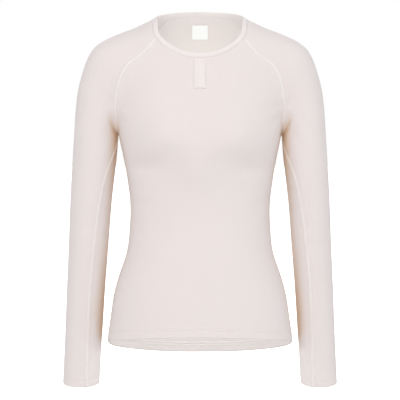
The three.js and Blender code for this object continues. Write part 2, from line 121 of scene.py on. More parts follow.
SIDE_HEM, FRONT_HEM_RISE, BACK_HEM_RISE, HEM_CURVE = -584, 21, -38, 2.65
CUFF, CUFF_TILT = -664, 4.5
BODY_HEM, CUFF_HEM = 17, 15
CLOTH, HEM_CLOTH, SEAM_GAP = 1.5, 2.7, 0.32
BAND_WIDTH, BAND_THICKNESS, BAND_PROUD, BINDING_CLOTH = 9.5, 2.4, 0.5, 0.9
BAND_SECTION = np.array([
    (0, 0.1), (0.22, 0.85), (0.5, 1), (0.8, 0.85), (1, 0.25), (1, -0.25), (0.75, -0.9),
    (0.3, -1), (0, -0.75),
])
TAB_WIDTH, TAB_LENGTH, TAB_CLOTH, TAB_DROP, LYING_GAP = 20, 53, 1.3, 1.4, 0.5
LABEL_WIDTH, LABEL_LENGTH, LABEL_BELOW_BAND, LABEL_CLOTH, LABEL_GAP = 29, 26, 15, 1, 0.75
SLOPE_STEP = 6
TAB_NEEDLES = (-8.2, -4.6, 4.4, 8.2)

# How finely the panels are divided: steps between rows, rows along a raglan seam and their ease
ROW_STEP, SEAM_ROWS, SEAM_EASE = 4.4, 64, 1.2

# Soft creases as seen from the front (facing 1) or the back (-1): three points of a bowed line,
# half width, depth (below zero where the cloth stands out), and how much of the depth stands up
# beside it as a ridge. They lie on both sides of the middle.
CREASES = [
    (1, (147, -212), (155, -190), (164, -166), 4, 2.8, 0.25),
    (1, (120, -230), (88, -238), (54, -234), 12, -1.4, 0),
    (1, (124, -264), (92, -274), (54, -266), 13, 2.6, 0),
    (1, (150, -172), (136, -182), (118, -196), 6.5, 1.3, 0.5),
    (1, (149, -158), (134, -160), (112, -164), 8, 0.8, 0.4),
    (1, (150, -190), (140, -208), (128, -232), 7, 0.9, 0.4),
    (1, (156, -160), (166, -140), (172, -116), 7, 0.9, 0.5),
    (1, (160, -196), (172, -214), (180, -240), 8, 0.8, 0.4),
    (1, (124, -330), (100, -338), (74, -336), 9, 0.7, 0.5),
    (1, (122, -362), (104, -358), (84, -350), 8, 0.6, 0.4),
    (1, (206, -370), (190, -378), (176, -376), 9, 1.1, 0.5),
    (1, (216, -412), (202, -408), (188, -398), 8, 0.8, 0.5),
    (1, (222, -560), (214, -556), (204, -548), 8, 0.6, 0.4),
    (-1, (152, -170), (136, -190), (112, -206), 8, 1.5, 0.5),
    (-1, (150, -196), (134, -222), (118, -250), 9, 1.3, 0.5),
    (-1, (148, -150), (128, -156), (100, -158), 10, 1, 0.4),
    (-1, (124, -322), (84, -334), (30, -330), 10, 1.4, 0.6),
    (-1, (126, -350), (78, -360), (12, -352), 9, 1.2, 0.6),
    (-1, (124, -384), (90, -384), (46, -376), 10, 1, 0.5),
    (-1, (158, -150), (170, -130), (178, -104), 8, 1, 0.5),
    (-1, (222, -360), (204, -366), (180, -362), 9, 1.5, 0.5),
    (-1, (224, -392), (206, -390), (186, -380), 8, 1.2, 0.5),
    (-1, (220, -428), (204, -420), (190, -408), 9, 0.9, 0.4),
]
UNDULATION = 0.35

# Below the bust the cloth bridges the middle: level, rise, and reach sideways and up
BRIDGED_Z, BRIDGED_RISE, BRIDGED_SIDE, BRIDGED_UP = -266, 8.5, 36, 42


def curve(rows, column, along=0):
    """A natural cubic spline through one column of a table, read from a fine list."""
    at, value = np.asarray(rows, float)[:, along], np.asarray(rows, float)[:, column]
    steps = np.diff(at)
    system = np.eye(len(at))
    right = np.zeros(len(at))
    for i in range(1, len(at) - 1):
        system[i, i - 1:i + 2] = steps[i - 1], 2 * (steps[i - 1] + steps[i]), steps[i]
        after = (value[i + 1] - value[i]) / steps[i]
        right[i] = 6 * (after - (value[i] - value[i - 1]) / steps[i - 1])
    bend = np.linalg.solve(system, right)
    fine = np.linspace(at[0], at[-1], 6001)
    i = np.clip(np.searchsorted(at, fine) - 1, 0, len(at) - 2)
    a = (at[i + 1] - fine) / steps[i]
    b = 1 - a
    swell = ((a**3 - a) * bend[i] + (b**3 - b) * bend[i + 1]) * steps[i] ** 2 / 6
    exact = a * value[i] + b * value[i + 1] + swell
    return lambda place: np.interp(place, fine, exact)


body_width, body_front, body_back, body_square = (curve(BODY, k) for k in (1, 2, 3, 4))
arm_x, arm_y, arm_width, arm_depth = (curve(ARM, k) for k in (1, 2, 3, 4))
bridge = curve(BRIDGE, 1)
neck_level = curve(NECK_EDGE, 1)
sweep_reach, sweep_y = curve(SWEEP, 1), curve(SWEEP, 2)


def field(p):
    """Signed distance, near enough, to the outside of the cloth: below zero within it."""
    x, y, z = p[..., 0], p[..., 1], p[..., 2]
    depth = np.where(y < 0, body_front(z), body_back(z))
    level = ((z - FULL_Z) / np.where(z > FULL_Z, FULL_ABOVE, FULL_BELOW)) ** 2
    full = np.exp(-(((x - FULL_X) / FULL_SIDE) ** 2) - level)
    full = FULL_RISE * (full + np.exp(-(((x + FULL_X) / FULL_SIDE) ** 2) - level))
    filled = np.where(y < 0, y + full * np.minimum(-y / depth, 1), y)
    power = body_square(z)
    reach = np.hypot(x, filled) + 1e-6
    scale = (np.abs(x / body_width(z)) ** power + np.abs(filled / depth) ** power) ** (1 / power)
    body = reach - reach / (scale + 1e-9)
    across, along = np.abs(x) - arm_x(z), y - arm_y(z)
    reach = np.hypot(across, along) + 1e-6
    arm = reach - reach / (np.hypot(across / arm_width(z), along / arm_depth(z)) + 1e-9)
    arm = arm + ARM_FADE * np.maximum(z - ARM_END, 0)
    blend = bridge(z)
    share = np.maximum(blend - np.abs(body - arm), 0) / blend
    return np.minimum(body, arm) - share * share * blend / 4


def come_out(start, way):
    """The places where lines from inside first come out through the cloth."""
    start, way = np.broadcast_arrays(np.asarray(start, float), np.asarray(way, float))
    shape = start.shape
    start, way = start.reshape(-1, 3), way.reshape(-1, 3)
    way = way / np.linalg.norm(way, axis=1, keepdims=True)
    low = np.zeros(len(start))
    going = np.arange(len(start))
    while len(going) and low.max() < 340:
        ahead = start[going] + way[going] * (low[going] + 1)[:, None]
        going = going[field(ahead) <= 0]
        low[going] += 1
    high = low + 1
    for _ in range(22):
        middle = (low + high) / 2
        inside = field(start + way * middle[:, None]) <= 0
        low, high = np.where(inside, middle, low), np.where(inside, high, middle)
    return (start + way * low[:, None]).reshape(shape)


def unit(v):
    return v / np.maximum(np.linalg.norm(v, axis=-1, keepdims=True), 1e-9)


def outward(p):
    """The way out of the cloth at points on it."""
    parts = []
    for axis in range(3):
        step = np.zeros(3)
        step[axis] = SLOPE_STEP
        parts.append(field(p + step) - field(p - step))
    return unit(np.stack(parts, -1))


def body_point(angle, z):
    turn = np.radians(np.asarray(angle, float))
    way = np.stack([np.sin(turn), -np.cos(turn), 0 * turn], -1)
    level = np.zeros(way.shape)
    level[..., 2] = z
    return come_out(level, way)


def body_angle(p):
    return np.degrees(np.arctan2(p[..., 0], -p[..., 1]))


def neck_edge(angle):
    from_front = np.abs(np.asarray(angle, float) % 360)
    return body_point(angle, neck_level(np.minimum(from_front, 360 - from_front)))


def neck_seam(angle):
    """The seam below the neckband, at angles from the front."""
    edge = neck_edge(angle)
    tangent = neck_edge(angle + 1) - neck_edge(angle - 1)
    down = unit(np.cross(outward(edge), tangent))
    down = np.where(down[..., 2:] < 0, down, -down)
    below = edge + down * BAND_WIDTH
    return body_point(body_angle(below), below[..., 2])


UNDERARM = come_out(UNDERARM_START, (0, 0, -1))


def along_line(line, shares):
    """Points at shares of the length of a finely divided line."""
    lengths = np.concatenate([[0], np.cumsum(np.linalg.norm(np.diff(line, axis=0), axis=1))])
    want = np.asarray(shares) * lengths[-1]
    return np.stack([np.interp(want, lengths, line[:, k]) for k in range(3)], -1)


def raglan_seam(rows, side, neck_angle):
    """A raglan seam on the wearer's left, from the underarm to the neck."""
    end = neck_seam(np.array(float(neck_angle)))
    stops = np.array([UNDERARM[[0, 2]], *rows, end[[0, 2]]])
    lengths = np.concatenate([[0], np.cumsum(np.linalg.norm(np.diff(stops, axis=0), axis=1))])
    path = np.column_stack([lengths, stops])
    t = lengths[-1] * (np.arange(1, 520) / 520) ** 2
    start = np.stack([curve(path, 1)(t), 0 * t, curve(path, 2)(t)], -1)
    return np.vstack([UNDERARM, come_out(start, (0, side, 0)), end])


FRONT_RAGLAN = raglan_seam(RAGLAN_FRONT, -1, FRONT_CUT)
BACK_RAGLAN = raglan_seam(RAGLAN_BACK, 1, BACK_CUT)
FRONT = (1, FRONT_RAGLAN, FRONT_CUT, FRONT_HEM_RISE)
BACK = (-1, BACK_RAGLAN, 180 - BACK_CUT, BACK_HEM_RISE)


def relief(p, normal):
    """How far the worn cloth stands out of its smooth form, in creases and a faint unevenness."""
    x, z = np.abs(p[..., 0]), p[..., 2]
    rise = np.zeros(x.shape)
    for k, (facing, first, middle, last, width, depth, ridge) in enumerate(CREASES):
        # On the wearer's right each crease lies a little higher or lower and is shallower.
        right = p[..., 0] < 0
        shift = np.where(right, 4 * math.sin(2.3 * k), 0)
        near = np.full(x.shape, 1e9)
        side = np.zeros(x.shape)
        part = np.zeros(x.shape)
        for t in np.linspace(0, 1, 15):
            a, b, c = (1 - t) ** 2, 2 * t * (1 - t), t * t
            cx, cz = (a * first[i] + b * middle[i] + c * last[i] for i in (0, 1))
            dx, dz = x - cx, z + shift - cz
            away = np.hypot(dx, dz)
            closer = away < near
            near = np.where(closer, away, near)
            side = np.where(closer, dz, side)
            part = np.where(closer, t, part)
        seen = np.clip(-facing * normal[..., 1] * 1.6, 0, 1)
        taper = np.clip(1 - np.abs(2 * part - 0.8) ** 2.4, 0, 1)
        strength = depth * seen * taper * np.where(right, 0.85, 1)
        rise -= strength * np.exp(-((near / width) ** 2))
        rise += strength * ridge * np.exp(-(((near - 1.7 * width) / width) ** 2)) * (side > 0)
    middle = np.exp(-((x / BRIDGED_SIDE) ** 2) - ((z - BRIDGED_Z) / BRIDGED_UP) ** 2)
    rise += BRIDGED_RISE * middle * (normal[..., 1] < 0)
    wave = np.sin(p[..., 0] / 31 + 0.7) * np.sin(z / 43 + p[..., 1] / 37)
    wave += 0.6 * np.sin(p[..., 0] / 17 - z / 61 + 2.1)
    hidden = np.where(normal[..., 1] > 0, 1.6, 0.7)
    return rise + UNDULATION * 0.6 * wave * hidden


def worn(p):
    """Points of the smooth form moved to the worn cloth, with the way out of it."""
    normal = outward(p)
    return p + normal * relief(p, normal)[..., None], normal


def fill_grid(bottom, top, left, right):
    """A grid in a flat map from its four edges, each a list of pairs."""
    steps = np.abs(np.diff(left[:, 1]) + np.diff(right[:, 1])) / 2
    v = np.concatenate([[0], np.cumsum(steps)])
    v = (v / v[-1])[:, None, None]
    u = np.linspace(0, 1, len(bottom))[None, :, None]
    upright = bottom[None] * (1 - v) + top[None] * v
    level = left[:, None] * (1 - u) + right[:, None] * u
    low = bottom[0] * (1 - u) + bottom[-1] * u
    high = top[0] * (1 - u) + top[-1] * u
    return upright + level - (low * (1 - v) + high * v)


def row_heights(total, hem, step):
    """Heights of a panel's rows: close together round the fold and the stitching of the hem."""
    fold = HEM_CLOTH / 2
    heights = [0, 0.02 * fold, 0.13 * fold, 0.35 * fold, 0.65 * fold, fold]
    heights += list(np.arange(2.4, hem - 0.4, 0.9)) + [hem - 0.3, hem + 0.3, hem + 1.2]
    count = int((total - hem - 2) / step)
    return np.array(heights + list(np.linspace(hem + 2.4, total, count)))


def hem_inset(heights):
    """How far a hem's outer face draws in as it turns under at the fold."""
    fold = HEM_CLOTH / 2
    short = np.clip(fold - heights, 0, fold)
    return fold - np.sqrt(fold**2 - short**2)


def hem_profile(heights, needles):
    """The hem's outer face by height: a groove under each needle row, a soft ridge between."""
    rise = np.zeros(len(heights))
    for needle in needles:
        rise -= 0.42 * np.exp(-(((heights - needle) / 0.8) ** 2))
    rise += 0.3 * np.exp(-(((heights - sum(needles) / 2) / 1.3) ** 2))
    rise += 0.18 * np.exp(-(((heights - max(needles) - 1.8) / 1.2) ** 2))
    return rise - hem_inset(heights)


def draw_in(points, seam_rows):
    """Draws the sides and the top of a panel in by half the seam gap."""
    half = SEAM_GAP / 2
    for edge, inner in ((0, 1), (-1, -2)):
        points[:, edge] += half * unit(points[:, inner] - points[:, edge])
        corner = len(points) - seam_rows
        points[corner, edge] += half * unit(points[corner, inner] - points[corner, edge])
    points[-1] += half * unit(points[-2] - points[-1])
    return points


def body_panel(facing, raglan, cut, rise, needles, columns=110, row_step=ROW_STEP,
               seam_rows=SEAM_ROWS):
    """Outer points of the front or the back, from the hem up, and their rows' heights."""
    heights = row_heights(UNDERARM[2] - SIDE_HEM, BODY_HEM, row_step)
    side = body_point(np.full(len(heights) - 1, 90.0), SIDE_HEM + heights[:-1])
    seam = along_line(raglan, np.linspace(0, 1, seam_rows) ** SEAM_EASE)
    edge = np.vstack([side, seam])
    turned = edge * (1, facing, 1)
    right = np.stack([body_angle(turned), edge[:, 2]], -1)
    left = right * (-1, 1)
    angles = np.linspace(-90, 90, columns + 1)
    hem = SIDE_HEM + rise * (1 - np.abs(angles / 90) ** HEM_CURVE)
    neck_angles = np.linspace(-cut, cut, columns + 1)
    neck = neck_seam(neck_angles if facing > 0 else 180 - neck_angles)
    top = np.stack([body_angle(neck * (1, facing, 1)), neck[:, 2]], -1)
    grid = fill_grid(np.stack([angles, hem], -1), top, left, right)
    turn = np.radians(grid[..., 0])
    way = np.stack([np.sin(turn), -facing * np.cos(turn), 0 * turn], -1)
    start = np.zeros(way.shape)
    start[..., 2] = grid[..., 1]
    points = come_out(start, way)
    points[:, 0] = edge * (-1, 1, 1)
    points[:, -1] = edge
    points[-1] = neck
    return finish_panel(points, heights, needles, seam_rows)


def mend(points, most=12):
    """Puts points whose line ran on through the next limb between their neighbours in the row."""
    count = points.shape[1]
    middle = count // 2
    for row in points:
        if np.linalg.norm(np.diff(row, axis=0), axis=1).max() < most:
            continue
        good = [middle]
        for way, stop in ((1, count), (-1, -1)):
            last = middle
            for i in range(middle + way, stop, way):
                if np.linalg.norm(row[i] - row[last]) < most * abs(i - last):
                    good.append(i)
                    last = i
        good.sort()
        row[:] = np.stack([np.interp(np.arange(count), good, row[good, k]) for k in range(3)], -1)
    return points


def finish_panel(points, heights, needles, seam_rows):
    """Adds creases and the hem's profile to a panel's smooth points."""
    points, normals = worn(mend(points))
    low = np.concatenate([heights[:-1], np.full(seam_rows, 999.0)])
    points = points + normals * hem_profile(low, needles)[:, None, None]
    return draw_in(points, seam_rows), normals, low


def sleeve_frame(s):
    """The middle of a sleeve and the way its sections face, by the distance along it."""
    s = np.asarray(s, float)
    below = s < 0
    z = UNDERARM[2] + s
    level = np.stack([arm_x(z), arm_y(z), z], -1)
    angle = np.maximum(s, 0) / SWEEP_MM_PER_DEGREE
    turn = np.radians(angle)
    out = np.stack([np.cos(turn), 0 * turn, np.sin(turn)], -1)
    hub = np.stack([HUB_X + 0 * angle, sweep_y(angle), UNDERARM[2] + 0 * angle], -1)
    swept = hub + out * sweep_reach(angle)[..., None]
    return np.where(below[..., None], level, swept), np.where(below[..., None], (1, 0, 0), out)


def sleeve_turn(p, behind=False):
    """Angle round the sleeve and distance along it for points on the cloth."""
    above = p[..., 2] - UNDERARM[2]
    swept = SWEEP_MM_PER_DEGREE * np.degrees(np.arctan2(above, p[..., 0] - HUB_X))
    s = np.where(above < 0, above, swept)
    middle, out = sleeve_frame(s)
    away = p - middle
    angle = np.degrees(np.arctan2(away[..., 1], (away * out).sum(-1)))
    if behind:
        angle = np.where(angle < 0, angle + 360, angle)
    return np.stack([angle, s], -1)


def cuff_level(angle):
    return CUFF + CUFF_TILT * np.sin(np.radians(angle)) - UNDERARM[2]


# The underarm seam by level, carried on to the point where the raglan seams start
seam_turn = curve(np.vstack([SLEEVE_SEAM, [UNDERARM[2], sleeve_turn(UNDERARM)[0]]]), 1)


def sleeve_panel(needles, columns=84, row_step=ROW_STEP, seam_rows=SEAM_ROWS):
    """Outer points of the wearer's left sleeve, from the cuff up, and their rows' heights."""
    total = UNDERARM[2] - CUFF
    heights = row_heights(total, CUFF_HEM, row_step)
    below = heights[:-1]
    shares = np.linspace(0, 1, seam_rows) ** SEAM_EASE
    front, back = along_line(FRONT_RAGLAN, shares), along_line(BACK_RAGLAN, shares)
    slit = seam_turn(CUFF + below)
    left = np.vstack([np.stack([slit, below - total], -1), sleeve_turn(front)])
    right = np.vstack([np.stack([slit + 360, below - total], -1), sleeve_turn(back, True)])
    for edge in (left, right):
        share = below / total
        edge[:len(below), 1] = cuff_level(edge[:len(below), 0]) * (1 - share)
    angles = np.linspace(left[0, 0], right[0, 0], columns + 1)
    neck = neck_seam(np.linspace(FRONT_CUT, BACK_CUT, columns + 1))
    grid = fill_grid(np.stack([angles, cuff_level(angles)], -1), sleeve_turn(neck), left, right)
    middle, out = sleeve_frame(grid[..., 1])
    turn = np.radians(grid[..., 0])[..., None]
    points = come_out(middle, out * np.cos(turn) + np.array([0, 1, 0]) * np.sin(turn))
    points[len(below):, 0] = front
    points[len(below):, -1] = back
    points[-1] = neck
    return finish_panel(points, heights, needles, seam_rows)


def cloth_lengths(points):
    """Each vertex's place on the flat cloth: across from the middle column, up from the hem."""
    across = np.linalg.norm(np.diff(points, axis=1), axis=2)
    across = np.concatenate([np.zeros((len(points), 1)), np.cumsum(across, axis=1)], axis=1)
    across -= across[:, across.shape[1] // 2][:, None]
    up = np.linalg.norm(np.diff(points, axis=0), axis=2).mean(axis=1)
    up = np.concatenate([[0], np.cumsum(up)])
    return np.stack([across, np.broadcast_to(up[:, None], across.shape)], -1)


def add_object(name, data):
    made = bpy.data.objects.new(name, data)
    bpy.context.scene.collection.objects.link(made)
    return made


def grid_mesh(name, points, join=False, outside=None):
    """An object whose mesh is a grid with its vertices at points[row, column], in millimetres.

    The UV map is each vertex's place on the flat cloth. join merges ends that meet, and outside
    holds ways out that the faces have to follow.
    """
    rows, columns = points.shape[0] - 1, points.shape[1] - 1
    flat = cloth_lengths(points)
    bm = bmesh.new()
    uv = bm.loops.layers.uv.new("UVMap")
    bmesh.ops.create_grid(bm, x_segments=columns, y_segments=rows, size=0.5, calc_uvs=True)
    place = {}
    for vert in bm.verts:
        place[vert.index] = (round((vert.co.y + 0.5) * rows), round((vert.co.x + 0.5) * columns))
    for vert in bm.verts:
        vert.co = points[place[vert.index]] * MM
    for face in bm.faces:
        for loop in face.loops:
            loop[uv].uv = flat[place[loop.vert.index]] * MM
    if outside is not None:
        bm.normal_update()
        turned = sum(f.normal.dot(Vector(outside[place[f.verts[0].index]])) for f in bm.faces)
        if turned < 0:
            bmesh.ops.reverse_faces(bm, faces=bm.faces[:])
    order = [place[vert.index] for vert in bm.verts]
    if join:
        bmesh.ops.remove_doubles(bm, verts=bm.verts[:], dist=1e-6)
    mesh = bpy.data.meshes.new(name)
    bm.to_mesh(mesh)
    bm.free()
    mesh.shade_smooth()
    return add_object(name, mesh), order


def thicken(piece, thickness, rim=0.35, weights=None):
    """Gives a cloth sheet its thickness inwards and rounds its cut edges."""
    wall = piece.modifiers.new("Cloth thickness", "SOLIDIFY")
    wall.thickness = thickness * MM
    wall.offset = -1
    wall.use_even_offset = False
    if weights is not None:
        group = piece.vertex_groups.new(name="Thickness")
        for weight in np.unique(weights):
            same = np.flatnonzero(weights == weight).tolist()
            group.add(same, float(weight), "REPLACE")
        wall.vertex_group = group.name
        wall.thickness_vertex_group = 0
    if rim:
        edge = piece.modifiers.new("Cut edges", "BEVEL")
        edge.width = rim * MM
        edge.segments = 2
        edge.limit_method = "ANGLE"
        edge.angle_limit = math.radians(50)


def hem_weights(order, low, hem):
    """Thickness weights of a panel: doubled at its turned hem, closed at the fold."""
    thickness = np.where(low < hem, HEM_CLOTH, CLOTH)
    thickness = np.where(low < HEM_CLOTH / 2, HEM_CLOTH - 2 * hem_inset(low) + 0.06, thickness)
    return np.array([round(float(thickness[j]) / HEM_CLOTH, 4) for j, _ in order])


def mirrored(points):
    return points[:, ::-1] * (-1, 1, 1)


def thread_mesh(name, lines, thickness, sides=1):
    """One mesh of threads of round section along many lines, each a list of points in mm."""
    data = bpy.data.curves.new(name, "CURVE")
    data.dimensions = "3D"
    data.bevel_depth = thickness / 2 * MM
    data.bevel_resolution = sides
    data.use_fill_caps = True
    for line in lines:
        spline = data.splines.new("POLY")
        spline.points.add(len(line) - 1)
        spline.points.foreach_set("co", np.column_stack([line * MM, np.ones(len(line))]).ravel())
    drawn = add_object(name + "_drawn", data)
    bpy.context.view_layer.update()
    seen = drawn.evaluated_get(bpy.context.evaluated_depsgraph_get())
    mesh = bpy.data.meshes.new_from_object(seen)
    bpy.data.objects.remove(drawn)
    bpy.data.curves.remove(data)
    mesh.name = name
    mesh.shade_smooth()
    return add_object(name, mesh)


def evenly(line, spacing):
    """A line divided again into equal steps of about the spacing."""
    length = np.linalg.norm(np.diff(line, axis=0), axis=1).sum()
    return along_line(line, np.linspace(0, 1, max(int(round(length / spacing)), 2) + 1))


def across_line(line, normals):
    return unit(np.cross(normals, np.gradient(line, axis=0)))


def straight_stitches(line, stitch, lift, aside=0.0):
    """A needle thread along a line on the cloth: it lies up along each stitch and dips between."""
    fine = evenly(line, stitch / 4)
    normals = outward(fine)
    phase = (np.arange(len(fine)) % 4) / 4
    height = lift * (np.abs(np.sin(np.pi * phase)) * 1.9 - 0.9)
    return fine + across_line(fine, normals) * aside + normals * height[:, None]


def cover_stitches(line, stitch, half, lift):
    """A covering thread that crosses from side to side of a seam."""
    fine = evenly(line, stitch / 4)
    normals = outward(fine)
    swing = np.array([-1, 0, 1, 0])[np.arange(len(fine)) % 4] * half
    height = lift + 0.12 * (np.arange(len(fine)) % 2)
    return fine + across_line(fine, normals) * swing[:, None] + normals * height[:, None]


def ribbon_points(line, half, base, crown, columns=8, facing=1):
    """A flat seam's crowned face, along a line on the cloth; facing is -1 on its inner side."""
    fine = evenly(line, 2.4)
    normals = outward(fine)
    across = across_line(fine, normals)
    u = np.linspace(-1, 1, columns + 1)
    rise = base + crown * (1 - np.abs(u) ** 2.5)
    puckers = 0.05 * np.sin(np.arange(len(fine)) * 1.9)[:, None]
    place = fine[:, None] + across[:, None] * (u * half)[None, :, None]
    ways = facing * normals
    return place + ways[:, None] * (rise[None, :] + puckers)[..., None], ways


def worn_line(line):
    points, _ = worn(line)
    return points


# Materials

# The painted warm shade in narrow gaps: how near other cloth has to be, and the levels where it
# starts and is full
PAINTED_SHADE_REACH, PAINTED_SHADE_FROM, PAINTED_SHADE_FULL = 0.07, -0.125, -0.165


def socket(group, name, kind, out=False, value=None):
    way = "OUTPUT" if out else "INPUT"
    made = group.interface.new_socket(name=name, in_out=way, socket_type=kind)
    if value is not None:
        made.default_value = value
    return made


def feed(tree, node, inputs):
    """Sets a node's inputs by name or number, each from a socket or to a fixed value."""
    for name, value in inputs.items():
        if isinstance(value, bpy.types.NodeSocket):
            tree.links.new(value, node.inputs[name])
        else:
            node.inputs[name].default_value = value
    return node


def add_node(tree, kind, inputs=None):
    return feed(tree, tree.nodes.new("ShaderNode" + kind), inputs or {})


def math_node(tree, operation, *values):
    """A Math node; its inputs are sockets or numbers."""
    node = tree.nodes.new("ShaderNodeMath")
    node.operation = operation
    return feed(tree, node, dict(enumerate(values))).outputs[0]


def colour_mix(tree, factor, a, b):
    node = tree.nodes.new("ShaderNodeMix")
    node.data_type = "RGBA"
    return feed(tree, node, {"Factor": factor, "A": a, "B": b}).outputs["Result"]


def knit_group():
    """Rows of knitted loops: V-shaped legs in upright wales, from a flat place in metres."""
    group = bpy.data.node_groups.new("Knitted loops", "ShaderNodeTree")
    socket(group, "Place", "NodeSocketVector")
    socket(group, "Wale", "NodeSocketFloat", value=0.0011)
    socket(group, "Course", "NodeSocketFloat", value=0.0009)
    socket(group, "Height", "NodeSocketFloat", out=True)
    entry, leave = group.nodes.new("NodeGroupInput"), group.nodes.new("NodeGroupOutput")
    split = add_node(group, "SeparateXYZ", {0: entry.outputs["Place"]})
    u = math_node(group, "DIVIDE", split.outputs["X"], entry.outputs["Wale"])
    v = math_node(group, "DIVIDE", split.outputs["Y"], entry.outputs["Course"])
    in_wale = math_node(group, "FRACT", u)
    from_middle = math_node(group, "ABSOLUTE", math_node(group, "SUBTRACT", in_wale, 0.5))
    leaning = math_node(group, "SUBTRACT", v, math_node(group, "MULTIPLY", from_middle, 1.6))
    leg = math_node(group, "SINE", math_node(group, "MULTIPLY", leaning, 2 * math.pi))
    leg = math_node(group, "MULTIPLY_ADD", leg, 0.5, 0.5)
    groove = math_node(group, "SINE", math_node(group, "MULTIPLY", from_middle, 2 * math.pi))
    groove = math_node(group, "ABSOLUTE", groove)
    height = math_node(group, "MULTIPLY", math_node(group, "POWER", groove, 0.6), leg)
    group.links.new(height, leave.inputs["Height"])
    return group


def mottle_group():
    """A faint unevenness of dye and yarn, drawn out along the wales."""
    group = bpy.data.node_groups.new("Yarn unevenness", "ShaderNodeTree")
    socket(group, "Place", "NodeSocketVector")
    socket(group, "Object Place", "NodeSocketVector")
    socket(group, "Shade", "NodeSocketFloat", out=True)
    entry, leave = group.nodes.new("NodeGroupInput"), group.nodes.new("NodeGroupOutput")
    stretch = add_node(
        group, "Mapping", {"Scale": (420, 14, 1), "Vector": entry.outputs["Place"]})
    streaks = add_node(
        group, "TexNoise", {"Scale": 1, "Detail": 3, "Vector": stretch.outputs["Vector"]})
    clouds = add_node(
        group, "TexNoise", {"Scale": 14, "Detail": 2, "Vector": entry.outputs["Object Place"]})
    both = math_node(group, "ADD", streaks.outputs["Fac"], clouds.outputs["Fac"])
    group.links.new(math_node(group, "MULTIPLY", both, 0.5), leave.inputs["Shade"])
    return group


def fabric(name, colour, knit=None, wale=0.0011, course=0.0009, bump=0.00012, contrast=0.05,
           roughness=0.85, sheen=0.2, mottle=None):
    """A cloth finish: a Principled shader with knitted relief, a faint random change of tone and,
    with the unevenness, a painted warm shade in narrow gaps.
    """
    material = bpy.data.materials.new(name)
    material.use_nodes = True
    tree = material.node_tree
    shader = feed(tree, tree.nodes["Principled BSDF"], {
        "Roughness": roughness, "Specular IOR Level": 0.25, "Sheen Weight": sheen,
        "Sheen Roughness": 0.45, "Base Color": (*colour, 1),
    })
    place = add_node(tree, "TexCoord")
    if mottle is not None:
        uneven = add_node(tree, "Group")
        uneven.node_tree = mottle
        feed(tree, uneven, {"Place": place.outputs["UV"], "Object Place": place.outputs["Object"]})
        tones = colour_mix(
            tree, uneven.outputs["Shade"], (*(c * (1 - contrast) for c in colour), 1),
            (*(min(c * (1 + contrast), 1) for c in colour), 1))
        # Painted shade: the colour darkens warm where ambient occlusion finds cloth near, for
        # light gone from cloth to cloth in a narrow gap.
        looks = bpy.context.scene.base_layer_looks
        painted_shade_occlusion = add_node(tree, "AmbientOcclusion", {"Distance": PAINTED_SHADE_REACH})
        painted_shade_occlusion.samples = 8
        deep = math_node(tree, "MULTIPLY_ADD", painted_shade_occlusion.outputs["AO"], -1.6, 1.02)
        deep.node.use_clamp = True
        # The painted shade only from the underarms down, so not in the shallow steps beside the
        # neckband and tab
        height = add_node(tree, "SeparateXYZ", {"Vector": place.outputs["Object"]})
        below = add_node(tree, "MapRange", {
            "From Min": PAINTED_SHADE_FROM, "From Max": PAINTED_SHADE_FULL, "Value": height.outputs["Z"],
        })
        deep = math_node(tree, "MULTIPLY", deep, below.outputs["Result"])
        feed(tree, shader, {"Base Color": colour_mix(tree, deep, tones, (*looks.fold, 1))})
    if knit is not None:
        loops = add_node(tree, "Group")
        loops.node_tree = knit
        feed(tree, loops, {"Wale": wale, "Course": course, "Place": place.outputs["UV"]})
        raised = add_node(
            tree, "Bump", {"Strength": 1, "Distance": bump, "Height": loops.outputs["Height"]})
        feed(tree, shader, {"Normal": raised.outputs["Normal"]})
    return material


def finish(name):
    """The named finish, made once from the colours in the sidebar."""
    found = bpy.data.materials.get(name)
    if found:
        return found
    looks = bpy.context.scene.base_layer_looks
    knit = bpy.data.node_groups.get("Knitted loops") or knit_group()
    mottle = bpy.data.node_groups.get("Yarn unevenness") or mottle_group()
    knits = {
        "Jersey": (looks.jersey, 1, 0.82, 0.0001, 0.025),
        "Trim": (looks.trim, 0.8, 0.66, 0.00008, 0.02),
        "Seam": (looks.seam, 1, 0.82, 0.00008, 0.02),
    }
    if name in knits:
        colour, wale, course, bump, contrast = knits[name]
        return fabric(name, colour, knit, looks.wale * wale, looks.wale * course, bump, contrast,
                      mottle=mottle)
    if name == "Thread":
        return fabric(name, looks.thread, roughness=0.7, sheen=0.3)
    if name == "Label cloth":
        return fabric(name, looks.label, knit, 0.0006, 0.0006, 0.00003, roughness=0.6, sheen=0.1)
    raise ValueError(f"No finish is called {name}")


def dress(piece, material, slot, *nodes):
    """Gives a piece its finish, rides it on the part and stands it for CAD nodes; the slot is not
    used.
    """
    piece.data.materials.clear()
    piece.data.materials.append(finish(material))
    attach(piece, "root")
    if nodes:
        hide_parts(*nodes)
    return piece


def length(name, description, default, low, high):
    return FloatProperty(
        name=name, description=description, default=default, min=low, max=high, unit="LENGTH")


def rows(name, description, default):
    return FloatVectorProperty(
        name=name, description=description, default=default, size=2, unit="LENGTH")


def tint(name, description, default):
    return FloatVectorProperty(
        name=name, description=description, subtype="COLOR", default=default, size=3, min=0,
        max=1)


def power(name, description, default):
    return FloatProperty(
        name=name, description=description, default=default, min=0, unit="POWER")


class BaseLayerSizes(bpy.types.PropertyGroup):
    seam_width: length(
        "Flat seam width", "Width of the flat seams over the raglan and the sides", 0.0056,
        0.002, 0.01)
    seam_height: length(
        "Flat seam height", "How far the flat seams stand above the cloth", 0.0006, 0.0001, 0.002)
    stitch: length(
        "Stitch length", "Length of one stitch along hems and cuffs", 0.0028, 0.001, 0.006)
    thread: length("Thread thickness", "Thickness of the sewing thread", 0.00055, 0.0002, 0.001)
    hem_needles: rows(
        "Hem needle rows", "Heights of the two needle rows above the body's hem",
        (0.0122, 0.0162))
    cuff_needles: rows(
        "Cuff needle rows", "Heights of the two needle rows above the cuff", (0.0105, 0.0142))


